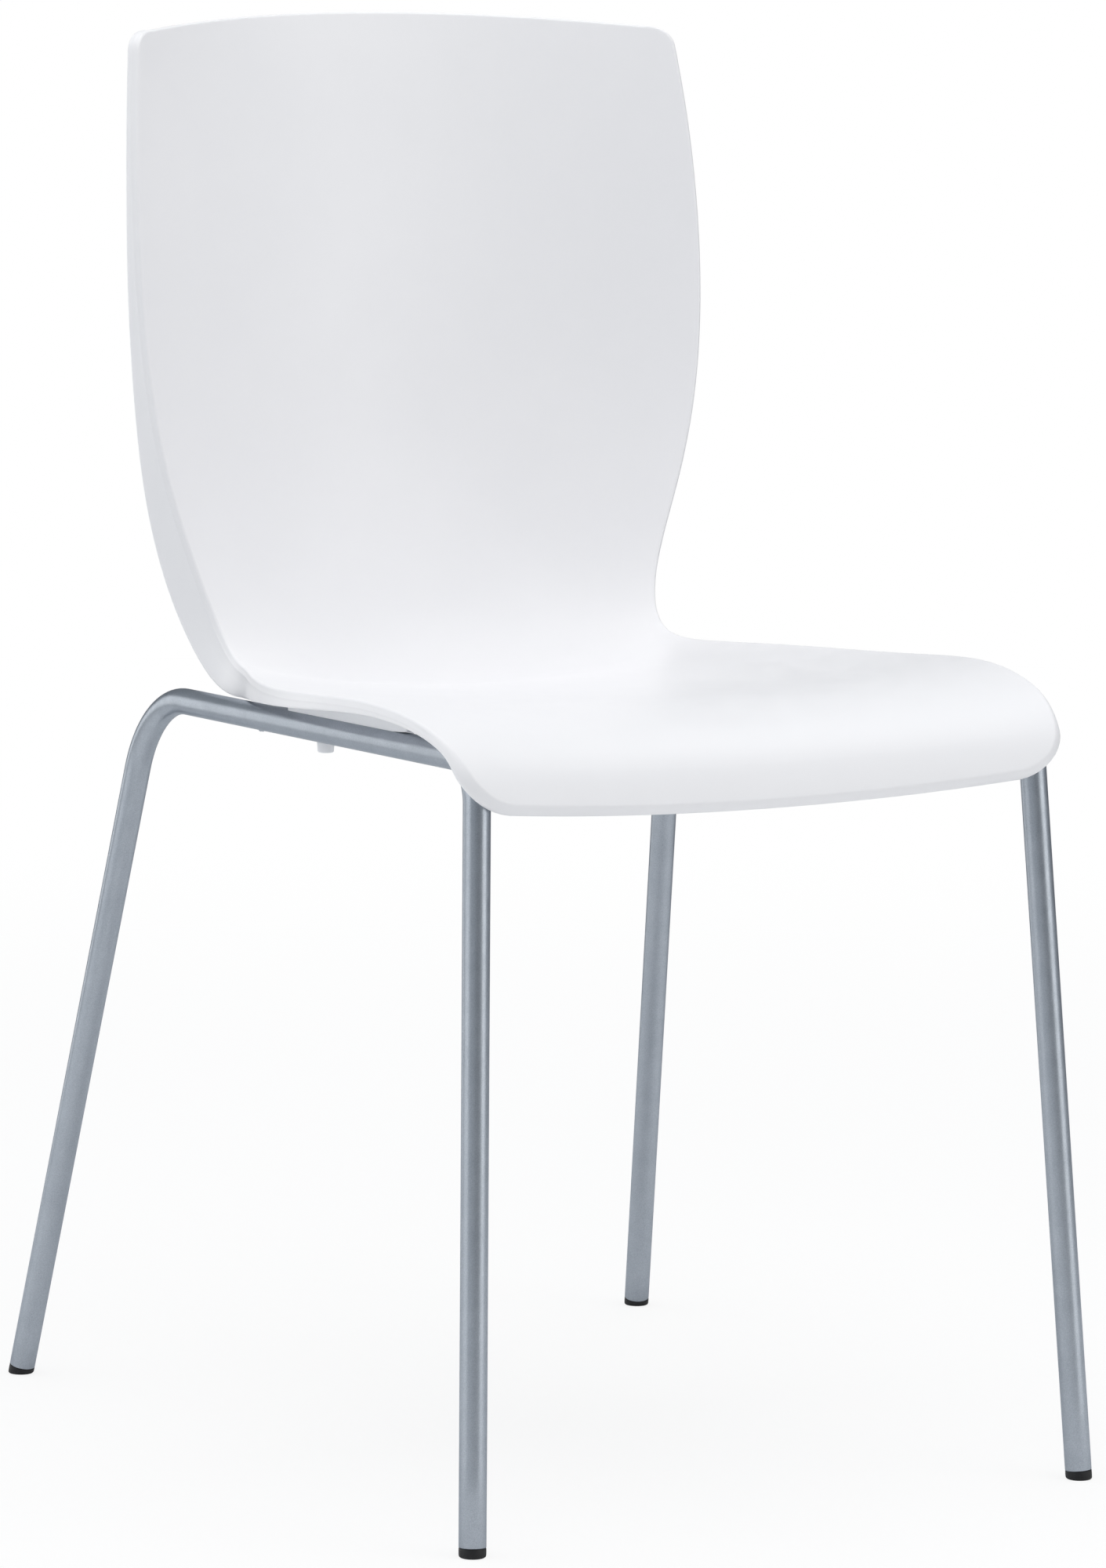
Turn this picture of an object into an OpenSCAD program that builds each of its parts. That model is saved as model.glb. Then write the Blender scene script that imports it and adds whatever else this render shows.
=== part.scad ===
// Stacking chair: a one-piece moulded shell on a welded four-leg tube frame.
// Origin: centre of the footprint on the floor. +Z up, the sitter faces -Y, +X is the sitter's left.
// The chair is symmetric about the plane X = 0, so every right-hand piece mirrors a left-hand one.

/* [Frame] */
// Outside diameter of the frame tube
tube_od = 16; // [16:0.5:17]
// Wall thickness of the frame tube
tube_wall = 1.5; // [1.2:0.1:2]
// Half the distance between the two front feet
front_foot_x = 208; // [200:1:214]
// Half the distance between the two rear feet
rear_foot_x = 227; // [218:1:236]
// Distance of the front and of the rear feet from the middle of the footprint
foot_y = 278; // [268:1:288]
// Half the distance between the two rails at their front corners
rail_front_x = 188; // [184:1:190]
// Half the distance between the two rails at their rear corners
rail_rear_x = 187; // [184:1:190]
// How far forward the rail's front corner lies
rail_front_y = -241; // [-246:1:-236]
// How far back the rail's rear corner lies
rail_rear_y = 173; // [165:1:180]
// Height of the rail's front corner
rail_front_z = 452.5; // [450:0.5:454]
// Height of the rail's rear corner
rail_rear_z = 444; // [442:0.5:446]
// Centreline radius of the bend into the front leg
front_bend_r = 26; // [24:1:34]
// Centreline radius of the bend into the rear leg
rear_bend_r = 62; // [52:1:70]
// Outside diameter of the two cross tubes
cross_od = 14; // [12:0.5:14]
// How far forward the front cross tube lies
front_cross_y = -172; // [-178:1:-171]
// How far back the rear cross tube lies
rear_cross_y = 30; // [20:1:34]
// How far the rear cross tube hangs below the rails' centreline
rear_cross_drop = 0.75; // [0.5:0.25:0.75]

/* [Shell] */
// Height of the seat's side edges
seat_z = 471; // [470:1:474]
// Half the widest width of the seat
seat_half_w = 223; // [218:1:228]
// Depth of the seat from its bend to its front lip
seat_depth = 420; // [415:1:425]
// Half the widest width of the backrest
back_half_w = 199; // [192:1:206]
// Height of the backrest's control line above the seat bend
back_rise = 372; // [350:1:385]
// How far the top of the backrest leans back
back_lean = 50; // [40:1:60]
// Half the width at the waist, where the seat bends into the backrest
waist_half_w = 151; // [146:1:156]
// How deep the backrest is hollowed between its side edges
back_dish = 66; // [50:1:70]
// How deep the seat is hollowed between its side edges
seat_dish = 14; // [12:0.5:15]
// Thickness of the moulded skin
skin_t = 4; // [3.5:0.5:4.5]
// Thickness of the returned flange at the rim
flange_t = 3.5; // [3:0.5:4]
// Corner radius at the top of the backrest
top_corner_r = 15; // [12:1:20]
// Corner radius at the front of the seat
front_corner_r = 34; // [28:1:38]

/* [Fittings] */
// Thickness of the glide between the tube's end and the floor
glide_h = 5.5; // [5:0.5:7]
// Length of the glide's stem inside the tube
glide_stem = 24; // [15:1:30]
// Diameter of the locating peg that hangs beside each rail
peg_d = 11; // [9:0.5:12]
// How far back the locating peg lies
peg_y = -31; // [-60:1:-22]
// Half the distance between the left and right fixing screws
screw_x = 140; // [130:1:145]
// Shank diameter of the fixing screws
screw_d = 5; // [4:0.5:5]

/* [Hidden] */

$fn = 48;
shell_white = "white";
tube_silver = [0.62, 0.65, 0.68];
glide_black = [0.12, 0.12, 0.13];
zinc = [0.75, 0.76, 0.74];

tube_r = tube_od / 2;
bore_r = tube_r - tube_wall;
cross_r = cross_od / 2;
bend_clear = 86;            // height of the first backrest station above the seat
bend_back_y = 154;          // where the seat's side edge meets the backrest
hair = 0.01;                // slight run-over that keeps cuts clean
slip = 0.1;                 // radial clearance of a shank in its hole

// ---- Vectors -------------------------------------------------------------------------------

function unit(v) = v / norm(v);
function mix(a, b, f) = a + (b - a) * f;

// ---- Frame centrelines (left side; the right side is mirrored) -----------------------------

front_foot = [front_foot_x, -foot_y, 0];
rear_foot = [rear_foot_x, foot_y, 0];
rail_front = [rail_front_x, rail_front_y, rail_front_z];
rail_rear = [rail_rear_x, rail_rear_y, rail_rear_z];

// Point on the rail's centreline at a given distance from front to back
function rail_at(y) = mix(rail_front, rail_rear, (y - rail_front_y) / (rail_rear_y - rail_front_y));

front_cross_z = rail_at(front_cross_y)[2];
rear_cross_z = rail_at(rear_cross_y)[2] - rear_cross_drop;

// Stops along a bend that rounds the corner between a and b: each one is [point, direction]
bend_stops = 12;
function bend_path(a, corner, b, r) =
    let (u = unit(a - corner), v = unit(b - corner), half = acos(u * v) / 2,
        centre = corner + unit(u + v) * r / sin(half),
        x_axis = unit(corner + u * r / tan(half) - centre))
    [for (k = [0 : bend_stops]) let (turn = (180 - 2 * half) * k / bend_stops)
        [centre + r * (cos(turn) * x_axis - sin(turn) * u), -sin(turn) * x_axis - cos(turn) * u]];

leg_front = unit(rail_front - front_foot);
leg_rear = unit(rear_foot - rail_rear);
tube_path = concat([[front_foot + leg_front * glide_h, leg_front]],
    bend_path(front_foot, rail_front, rail_rear, front_bend_r),
    bend_path(rail_front, rail_rear, rear_foot, rear_bend_r),
    [[rear_foot - leg_rear * glide_h, leg_rear]]);

// ---- Shell stations ------------------------------------------------------------------------
// The shell is lofted through stations that run from above the top edge, down the backrest,
// through the bend and forward along the seat to below the front lip. Each station holds
// [y and z of the side edge, half width, hollow depth at the middle, flange depth].

function back_station(rise, width, hollow, flange) =
    [bend_back_y + 2 + back_lean * rise * rise, seat_z + bend_clear + back_rise * rise,
    back_half_w * width, back_dish * hollow, flange];

function seat_station(run, lift, width, hollow, flange) =
    [bend_back_y - seat_depth * run, seat_z + lift, seat_half_w * width, seat_dish * hollow, flange];

stations = [
    back_station(1.00, 0.910, 1.00, 8),
    back_station(0.88, 0.932, 1.00, 8),
    back_station(0.77, 0.955, 1.00, 8),
    back_station(0.65, 0.983, 1.00, 8),
    back_station(0.51, 0.998, 0.98, 9),
    back_station(0.38, 1.000, 0.95, 11),
    back_station(0.25, 0.988, 0.92, 13),
    back_station(0.12, 0.953, 0.88, 17),
    back_station(0.00, 0.894, 0.79, 23),
    [bend_back_y, seat_z + 37, waist_half_w + 9, back_dish * 0.64, 28],
    [bend_back_y - 20, seat_z - 3, waist_half_w, back_dish * 0.45, 23],
    seat_station(0.162, -2, 0.745, 1.25, 18),
    seat_station(0.276, 0, 0.848, 0.92, 15),
    seat_station(0.395, 1, 0.928, 0.86, 11.5),
    seat_station(0.514, 3, 0.982, 0.89, 9.5),
    seat_station(0.633, 7, 1.000, 0.91, 9),
    seat_station(0.752, 9, 0.969, 0.86, 8),
    seat_station(0.871, 3, 0.942, 0.86, 7),
    seat_station(0.971, -14, 0.919, 0.86, 6),
    seat_station(1.000, -56, 0.901, 0.86, 6),
    seat_station(0.995, -101, 0.892, 0.86, 6)
];

top_edge = 0.74;            // station count at the top corners
top_crown = 0.50;           // how much further the top edge rises at the middle
lip_edge = 17.80;           // station count at the front corners
lip_crown = 0.16;           // how much further the front lip drops at the middle
station_gap = 45;           // average distance between stations

// Uniform cubic B-spline weights
function blend(f) = [pow(1 - f, 3), 3 * pow(f, 3) - 6 * f * f + 4, 1 + 3 * f + 3 * f * f - 3 * pow(f, 3),
    pow(f, 3)] / 6;
function station(t) = let (i = floor(t), b = blend(t - i))
    b[0] * stations[i] + b[1] * stations[i + 1] + b[2] * stations[i + 2] + b[3] * stations[i + 3];

// Unit direction from the side edge towards the back and underside, square to the edge
function outward(t) = let (step = 0.01, a = station(t - step), b = station(t + step), d = unit(b - a))
    unit([-(b[1] - a[1]), b[0] - a[0]]);

// Point on the sitter's side of the shell, u = -1 to 1 across
function face_point(t, u) = let (s = station(t), d = outward(t) * s[3] * (1 - u * u))
    [s[2] * u, s[0] + d[0], s[1] + d[1]];

// Unit normal that points away from the sitter
function face_normal(t, u) = let (e = 0.01)
    unit(cross(face_point(t, u + e) - face_point(t, u - e), face_point(t + e, u) - face_point(t - e, u)));

// How much a corner of radius r pulls the edge in at distance a from the end
function corner_pull(a, r) = a < r ? r - sqrt(r * r - pow(r - a, 2)) : 0;

// Station count of a row at fractions a and b of the way across the top edge and the front lip
function row_t(v, a, b) = mix(top_edge - top_crown * (1 - a * a), lip_edge + lip_crown * (1 - b * b), v);

// [station count, u] on the row at fraction v from the top edge to the lip, q = -1 to 1 across
shell_run = (lip_edge - top_edge) * station_gap;
function row_place(v, q) = let (w = station(row_t(v, q, q))[2],
    x = q * (w - corner_pull(v * shell_run, top_corner_r) - corner_pull((1 - v) * shell_run, front_corner_r)),
    t = row_t(v, min(1, abs(x) / (w - top_corner_r)), min(1, abs(x) / (w - front_corner_r))))
    [t, x / station(t)[2]];

// Rows: close together at both ends, where the corners turn, and even between
end_rows = [0, 0.5, 1.8, 3.5, 4.4, 8, 12, 16];
lip_rows = [36, 28, 20, 13, 8, 4.4, 3.5, 1.2, 0];
mid_rows = 44;
rows = [for (a = end_rows) a / shell_run,
    for (k = [1 : mid_rows - 1]) mix(end_rows[7], shell_run - lip_rows[0], k / mid_rows) / shell_run,
    for (a = lip_rows) 1 - a / shell_run];

// Columns: the flange's two faces close to each edge, and an even spread between
edge_cols = [1, 0.981, 0.976];
half_cols = 9;
cols = [for (c = edge_cols) -c,
    for (k = [1 - half_cols : half_cols - 1]) 0.93 * k / (half_cols - 1),
    for (k = [2 : -1 : 0]) edge_cols[k]];

last_row = len(rows) - 1;
last_col = len(cols) - 1;

function on_flange(i, j) = j < 2 || j > last_col - 2 || rows[i] * shell_run < flange_t + hair
    || (1 - rows[i]) * shell_run < flange_t + hair;

face_grid = [for (i = [0 : last_row]) for (j = [0 : last_col])
    let (p = row_place(rows[i], cols[j])) face_point(p[0], p[1])];
rear_grid = [for (i = [0 : last_row]) for (j = [0 : last_col])
    let (p = row_place(rows[i], cols[j]), depth = on_flange(i, j) ? station(p[0])[4] : skin_t)
    face_point(p[0], p[1]) + face_normal(p[0], p[1]) * depth];

// Point on the shell's underside at a station and a distance from the middle, for pads and bosses
function under_point(t, x) = let (u = x / station(t)[2]) face_point(t, u) + face_normal(t, u) * skin_t;

// Height of the shell's underside at x and y: halves the run of seat stations until it closes in
function under_z(x, y, from = 11, to = 17, halvings = 16) = let (t = (from + to) / 2, p = under_point(t, x))
    halvings == 0 ? p[2] :
    p[1] > y ? under_z(x, y, t, to, halvings - 1) : under_z(x, y, from, t, halvings - 1);

// ---- Tube and rod helpers ------------------------------------------------------------------

// Places children so that their Z axis runs from p towards q
module along(p, q) {
    d = q - p;
    translate(p) rotate([0, acos(d[2] / norm(d)), atan2(d[1], d[0])]) children();
}

module rod(p, q, r) {
    along(p, q) cylinder(h = norm(q - p), r = r);
}

// ---- Side tubes ----------------------------------------------------------------------------
// One bent tube a side: a ring of corners at each stop of the path, for the outside and the bore.

tube_sides = 28;

function tube_ring(stop, r) = let (d = stop[1], u = unit([1, 0, 0] - d[0] * d), w = cross(d, u))
    [for (k = [0 : tube_sides - 1]) let (a = (k + 0.5) * 360 / tube_sides) stop[0] + r * (cos(a) * u + sin(a) * w)];

// Two triangles from side k of one ring to the next ring, and from the outside's end to the bore's
function band(p, q, k) = let (n = (k + 1) % tube_sides) [[p + k, p + n, q + n], [p + k, q + n, q + k]];

module bent_tube() {
    last = len(tube_path) - 1;
    inner = (last + 1) * tube_sides;
    rings = [for (r = [tube_r, bore_r]) for (stop = tube_path) for (p = tube_ring(stop, r)) p];
    polyhedron(points = rings, faces = [
        for (k = [0 : tube_sides - 1]) for (f = concat(
            band(inner, 0, k),
            band(last * tube_sides, inner + last * tube_sides, k),
            [for (i = [0 : last - 1]) for (f = concat(
                band(i * tube_sides, (i + 1) * tube_sides, k),
                band(inner + (i + 1) * tube_sides, inner + i * tube_sides, k))) f])) f]);
}

module left_side_tube() {
    color(tube_silver) bent_tube();
}

module right_side_tube() {
    color(tube_silver) mirror([1, 0, 0]) bent_tube();
}

// ---- Cross tubes and welds -----------------------------------------------------------------

module both_rails(r) {
    for (side = [0, 1]) mirror([side, 0, 0]) rod(rail_front, rail_rear, r);
}

// Straight tube between the rails, coped to their round sides and drilled for two screws
module cross_tube(y, z) {
    half = rail_at(y)[0];
    difference() {
        translate([-half, y, z]) rotate([0, 90, 0]) linear_extrude(2 * half) difference() {
            circle(r = cross_r);
            circle(r = cross_r - tube_wall);
        }
        both_rails(tube_r);
        for (side = [-1, 1]) translate([side * screw_x, y, z - tube_od])
            cylinder(h = 2 * tube_od, r = screw_d / 2 + slip);
    }
}

module front_cross_tube() {
    color(tube_silver) cross_tube(front_cross_y, front_cross_z);
}

module rear_cross_tube() {
    color(tube_silver) cross_tube(rear_cross_y, rear_cross_z);
}

weld_leg = 2;               // width of a weld bead on each tube

// A rod along the left rail. Its turn, and the bead's, keep the seams of the crossing cylinders apart.
rail_turn = 90;
bead_turn = 45;

module rail_rod(r) {
    along(rail_front, rail_rear) rotate([0, 0, rail_turn])
        cylinder(h = norm(rail_rear - rail_front), r = r);
}

// Weld bead round the end of a cross tube, against the left rail
module weld(y, z) {
    half = rail_at(y)[0];
    difference() {
        intersection() {
            translate([half - 2 * tube_od, y, z]) rotate([0, 90, 0]) rotate([0, 0, bead_turn])
                cylinder(h = 2 * tube_od - weld_leg, r = cross_r + weld_leg);
            rail_rod(tube_r + weld_leg);
        }
        rail_rod(tube_r);
        translate([0, y, z]) rotate([0, 90, 0]) rotate([0, 0, bead_turn]) cylinder(h = 2 * half, r = cross_r);
    }
}

module frame_welds() {
    color(tube_silver) for (side = [0, 1]) mirror([side, 0, 0]) {
        weld(front_cross_y, front_cross_z);
        weld(rear_cross_y, rear_cross_z);
    }
}

// ---- Glides --------------------------------------------------------------------------------

barb_count = 3;

// Push-in glide for one leg: a round head under the tube's end, and a barbed stem inside it
module glide(foot, corner) {
    stem_r = bore_r - 0.4;
    difference() {
        along(foot, corner) rotate([0, 0, 50]) {
            translate([0, 0, -tube_r]) cylinder(h = tube_r + glide_h, r = tube_r);
            translate([0, 0, glide_h]) cylinder(h = glide_stem, r = stem_r);
            for (k = [1 : barb_count]) translate([0, 0, glide_h + k * glide_stem / (barb_count + 1)])
                cylinder(h = 2.5, r1 = bore_r, r2 = stem_r);
        }
        translate(foot - [tube_od, tube_od, 2 * tube_od]) cube(2 * tube_od);
    }
}

module front_left_glide() {
    color(glide_black) glide(front_foot, rail_front);
}

module front_right_glide() {
    color(glide_black) mirror([1, 0, 0]) glide(front_foot, rail_front);
}

module rear_left_glide() {
    color(glide_black) glide(rear_foot, rail_rear);
}

module rear_right_glide() {
    color(glide_black) mirror([1, 0, 0]) glide(rear_foot, rail_rear);
}

// ---- Seat pads -----------------------------------------------------------------------------
// A pad sits on each rail under the seat's overhang. Its top follows the shell's underside and its
// groove fits the rail. Its round peg hangs beside the rail and keeps the seat from sliding sideways.

pad_out = 2.5;              // how far the pad reaches outboard of the rail's centreline
pad_w = 17;
pad_gap = 0.2;              // clearance between the pad's top and the shell
pad_lap = 3;                // height of the pad's edges above the rail's centreline
pad_stations = [12 : 0.5 : 15];
pad_relief_y = -139;        // forward of this the pad's underside rises off the rail
pad_relief = 0.8;           // how far it has risen at the pad's front end
peg_show = 8.7;             // how far the peg hangs below the rail
peg_slack = 0.3;            // sideways play between the peg and the rail
peg_taper = 12;             // length of the peg's slightly tapered end
peg_root = 10;              // height of the peg's top above the rail's centreline, inside the pad

module seat_pad() {
    peg_point = rail_at(peg_y) - [tube_r + peg_slack + peg_d / 2, 0, tube_r + peg_show];
    inner = rail_at(pad_relief_y)[0] + pad_out - pad_w;
    top = [for (t = pad_stations) let (p = under_point(t, inner)) [p[1], p[2] - pad_gap]];
    last = top[len(top) - 1];
    relief_z = rail_at(pad_relief_y)[2];
    difference() {
        translate([inner, 0, 0]) rotate([90, 0, 90]) linear_extrude(pad_w)
            polygon(concat([
                [top[0][0], rail_at(top[0][0])[2] + pad_lap],
                [pad_relief_y + 1, relief_z + pad_lap],
                [pad_relief_y, relief_z + tube_r - pad_relief],
                [last[0], rail_at(last[0])[2] + tube_r + pad_relief]],
                [for (k = [len(top) - 1 : -1 : 0]) top[k]]));
        rod(rail_front, rail_rear, tube_r);
    }
    translate(peg_point) {
        cylinder(h = peg_taper, r1 = peg_d / 2 - 0.6, r2 = peg_d / 2);
        translate([0, 0, peg_taper]) cylinder(h = tube_r + peg_show + peg_root - peg_taper, r = peg_d / 2);
    }
}

module left_seat_pad() {
    color(shell_white) seat_pad();
}

module right_seat_pad() {
    color(shell_white) mirror([1, 0, 0]) seat_pad();
}

// ---- Fixing screws and washers -------------------------------------------------------------

screw_bite = 7;             // how far a screw goes into its boss
head_d = 10;
head_h = 3.2;
washer_d = 14;
washer_t = 2;               // washer thickness below the tube
screw_grip = washer_t + cross_od + screw_bite;

module at_fixings() {
    for (side = [-1, 1]) {
        translate([side * screw_x, front_cross_y, front_cross_z]) children();
        translate([side * screw_x, rear_cross_y, rear_cross_z]) children();
    }
}

module fixing_screws() {
    color(zinc) at_fixings() translate([0, 0, -cross_r - washer_t]) difference() {
        union() {
            cylinder(h = screw_grip, r = screw_d / 2);
            translate([0, 0, -head_h]) cylinder(h = head_h, r1 = head_d / 2 - 1.2, r2 = head_d / 2);
        }
        translate([0, 0, -head_h - hair]) cylinder(h = 2, r = 2, $fn = 6);
    }
}

module saddle_washers() {
    color(glide_black) at_fixings() difference() {
        translate([0, 0, -cross_r - washer_t]) cylinder(h = washer_t + 3, r = washer_d / 2);
        rotate([0, 90, 0]) cylinder(h = 2 * washer_d, r = cross_r, center = true);
        translate([0, 0, -2 * tube_r]) cylinder(h = 2 * tube_r, r = screw_d / 2 + slip);
    }
}

// ---- Seat shell ----------------------------------------------------------------------------

function cell(i, j) = i * (last_col + 1) + j;
sheet = (last_row + 1) * (last_col + 1);

module shell_skin() {
    polyhedron(points = concat(face_grid, rear_grid), faces = [
        for (i = [0 : last_row - 1]) for (j = [0 : last_col - 1]) for (f = [
            [cell(i, j), cell(i, j + 1), cell(i + 1, j + 1)],
            [cell(i, j), cell(i + 1, j + 1), cell(i + 1, j)],
            [sheet + cell(i, j), sheet + cell(i + 1, j + 1), sheet + cell(i, j + 1)],
            [sheet + cell(i, j), sheet + cell(i + 1, j), sheet + cell(i + 1, j + 1)]]) f,
        for (i = [0 : last_row - 1]) for (f = [
            [cell(i, 0), cell(i + 1, 0), sheet + cell(i + 1, 0)],
            [cell(i, 0), sheet + cell(i + 1, 0), sheet + cell(i, 0)],
            [cell(i, last_col), sheet + cell(i + 1, last_col), cell(i + 1, last_col)],
            [cell(i, last_col), sheet + cell(i, last_col), sheet + cell(i + 1, last_col)]]) f,
        for (j = [0 : last_col - 1]) for (f = [
            [cell(0, j), sheet + cell(0, j), sheet + cell(0, j + 1)],
            [cell(0, j), sheet + cell(0, j + 1), cell(0, j + 1)],
            [cell(last_row, j), sheet + cell(last_row, j + 1), sheet + cell(last_row, j)],
            [cell(last_row, j), cell(last_row, j + 1), sheet + cell(last_row, j + 1)]]) f]);
}

boss_d = 20;                // diameter of the moulded bosses that the screws go into
boss_sink = 2;              // how far a boss runs into the skin
boss_saddle = 3;            // height of a boss's rim above the cross tube's centreline

// Moulded bosses that stand on a cross tube and reach up into the skin
module bosses(y, z) {
    top = under_z(screw_x, y) + boss_sink;
    for (side = [-1, 1]) difference() {
        translate([side * screw_x, y, z + boss_saddle]) cylinder(h = top - z - boss_saddle, d = boss_d);
        translate([-rail_front_x, y, z]) rotate([0, 90, 0]) cylinder(h = 2 * rail_front_x, r = cross_r);
    }
}

module seat_shell() {
    color(shell_white) difference() {
        union() {
            shell_skin();
            bosses(front_cross_y, front_cross_z);
            bosses(rear_cross_y, rear_cross_z);
        }
        at_fixings() cylinder(h = cross_r + screw_bite, r = screw_d / 2);
    }
}

seat_shell();
right_side_tube();
left_side_tube();
front_cross_tube();
rear_cross_tube();
frame_welds();
right_seat_pad();
left_seat_pad();
front_right_glide();
front_left_glide();
rear_right_glide();
rear_left_glide();
fixing_screws();
saddle_washers();
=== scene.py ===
import math

import bmesh
import bpy
import numpy as np
from mathutils import Matrix, Vector


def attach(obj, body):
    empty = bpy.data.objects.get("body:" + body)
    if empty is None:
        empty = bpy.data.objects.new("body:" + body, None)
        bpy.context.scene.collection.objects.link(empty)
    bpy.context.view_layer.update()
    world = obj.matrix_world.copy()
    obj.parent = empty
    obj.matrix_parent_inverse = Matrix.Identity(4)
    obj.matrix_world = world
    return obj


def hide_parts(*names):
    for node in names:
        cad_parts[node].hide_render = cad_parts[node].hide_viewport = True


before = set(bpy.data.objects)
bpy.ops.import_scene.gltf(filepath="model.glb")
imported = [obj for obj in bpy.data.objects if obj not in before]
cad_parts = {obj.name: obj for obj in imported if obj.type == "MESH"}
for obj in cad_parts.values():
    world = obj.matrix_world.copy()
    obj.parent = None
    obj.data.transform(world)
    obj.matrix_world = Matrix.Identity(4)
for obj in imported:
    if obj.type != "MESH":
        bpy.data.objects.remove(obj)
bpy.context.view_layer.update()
MM = 0.001
scene = bpy.context.scene

# ---- Dimensions of the chair, in millimetres, the same as the CAD source's ------------------

TUBE_R, BORE_R = 8.0, 6.5
FRONT_FOOT = np.array([208.0, -278.0, 0.0])
REAR_FOOT = np.array([227.0, 278.0, 0.0])
RAIL_FRONT = np.array([188.0, -241.0, 452.5])
RAIL_REAR = np.array([187.0, 173.0, 444.0])
FRONT_BEND, REAR_BEND = 26.0, 62.0
GLIDE_H = 5.5
GLIDE_STEM = 24.0
PEG_Y, PEG_D, PEG_SHOW, PEG_SLACK = -31.0, 11.0, 8.7, 0.3
PEG_ROOT = 10.0
PAD_OUT, PAD_W, PAD_LAP = 2.5, 17.0, 3.0
PAD_REAR, PAD_FRONT = -12.3, -161.2            # y of the pad's two ends
RELIEF_Y, RELIEF_RUN, RELIEF = -139.0, 22.5, 0.8    # where the pad's underside rises off the rail
PAD_SLACK = 0.2                                # between the pad's top and the shell
SCREW_X = 140.0
WELD_R = 1.35
CROSS_R, CROSS_BORE = 7.0, 5.5
CROSS = [(-172.0, 0.0), (30.0, -0.75)]         # y of each cross tube, and its drop below the rails
SKIN, RIM = 4.0, 3.5
R_TOP, R_FRONT = 15.0, 34.0


def back(rise, width, hollow, flange):
    return [156 + 50 * rise * rise, 557 + 372 * rise, 199 * width, 66 * hollow, flange]


def seat(run, lift, width, hollow, flange):
    return [154 - 420 * run, 471 + lift, 223 * width, 14 * hollow, flange]


STATIONS = np.array([
    back(1.00, 0.910, 1.00, 8), back(0.88, 0.932, 1.00, 8), back(0.77, 0.955, 1.00, 8),
    back(0.65, 0.983, 1.00, 8), back(0.51, 0.998, 0.98, 9), back(0.38, 1.000, 0.95, 11),
    back(0.25, 0.988, 0.92, 13), back(0.12, 0.953, 0.88, 17), back(0.00, 0.894, 0.79, 23),
    [154, 508, 160, 66 * 0.64, 28], [134, 468, 151, 66 * 0.45, 23],
    seat(0.162, -2, 0.745, 1.25, 18), seat(0.276, 0, 0.848, 0.92, 15), seat(0.395, 1, 0.928, 0.86, 11.5),
    seat(0.514, 3, 0.982, 0.89, 9.5), seat(0.633, 7, 1.000, 0.91, 9), seat(0.752, 9, 0.969, 0.86, 8),
    seat(0.871, 3, 0.942, 0.86, 7), seat(0.971, -14, 0.919, 0.86, 6), seat(1.000, -56, 0.901, 0.86, 6),
    seat(0.995, -101, 0.892, 0.86, 6)], float)
TOP, TOP_CROWN, LIP, LIP_CROWN, GAP = 0.74, 0.50, 17.80, 0.16, 45.0


# ---- The shell's surface, as functions of station t and position u across -------------------

def station(t):
    t = np.clip(np.asarray(t, float), 0, len(STATIONS) - 3 - 1e-9)
    i = np.floor(t).astype(int)
    f = (t - i)[..., None]
    w = [(1 - f) ** 3, 3 * f ** 3 - 6 * f * f + 4, 1 + 3 * f + 3 * f * f - 3 * f ** 3, f ** 3]
    return sum(w[k] * STATIONS[i + k] for k in range(4)) / 6


def face(t, u):
    t, u = np.broadcast_arrays(np.asarray(t, float), np.asarray(u, float))
    s, a, b = station(t), station(t - 0.01), station(t + 0.01)
    d = b[..., :2] - a[..., :2]
    n = np.stack([-d[..., 1], d[..., 0]], -1)
    n /= np.linalg.norm(n, axis=-1, keepdims=True)
    yz = s[..., :2] + n * (s[..., 3] * (1 - u * u))[..., None]
    return np.stack([s[..., 2] * u, yz[..., 0], yz[..., 1]], -1)


def slopes(t, u, e=0.004):
    return (face(t + e, u) - face(t - e, u)) / (2 * e), (face(t, u + e) - face(t, u - e)) / (2 * e)


def normal(t, u):
    st, su = slopes(t, u)
    n = np.cross(su, st)
    return n / np.linalg.norm(n, axis=-1, keepdims=True)


def pull(a, r):
    return np.where(a < r, r - np.sqrt(np.maximum(r * r - (r - a) ** 2, 0)), 0.0)


RUN = (LIP - TOP) * GAP
TOP_ROWS, LIP_ROWS = 9, 12              # rows of the grid that go round the top and the front corners
top_arc, lip_arc = np.linspace(0, math.pi / 2, TOP_ROWS), np.linspace(math.pi / 2, 0, LIP_ROWS)
rows_a = np.concatenate([R_TOP * (1 - np.cos(top_arc)), np.linspace(R_TOP, RUN - R_FRONT, 112)[1:-1],
                         RUN - R_FRONT * (1 - np.cos(lip_arc))])
cols_q = np.linspace(-1, 1, 57)
ROWS, COLS = len(rows_a), len(cols_q)


def row_t(a, f, g):
    """Station at a mm down from the top edge, f and g of the way across the top edge and the lip."""
    t0, t1 = TOP - TOP_CROWN * (1 - f * f), LIP + LIP_CROWN * (1 - g * g)
    return t0 + (t1 - t0) * a / RUN


def place(a, q, s=0.0):
    """Station and position across, at a mm down and q across the outline drawn s mm smaller."""
    w = station(row_t(a, q, q))[..., 2]
    x = q * (w - s - pull(a - s, R_TOP - s) - pull(RUN - a - s, R_FRONT - s))
    t = row_t(a, np.minimum(1, np.abs(x) / (w - R_TOP)), np.minimum(1, np.abs(x) / (w - R_FRONT)))
    return t, x / station(t)[..., 2]


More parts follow.
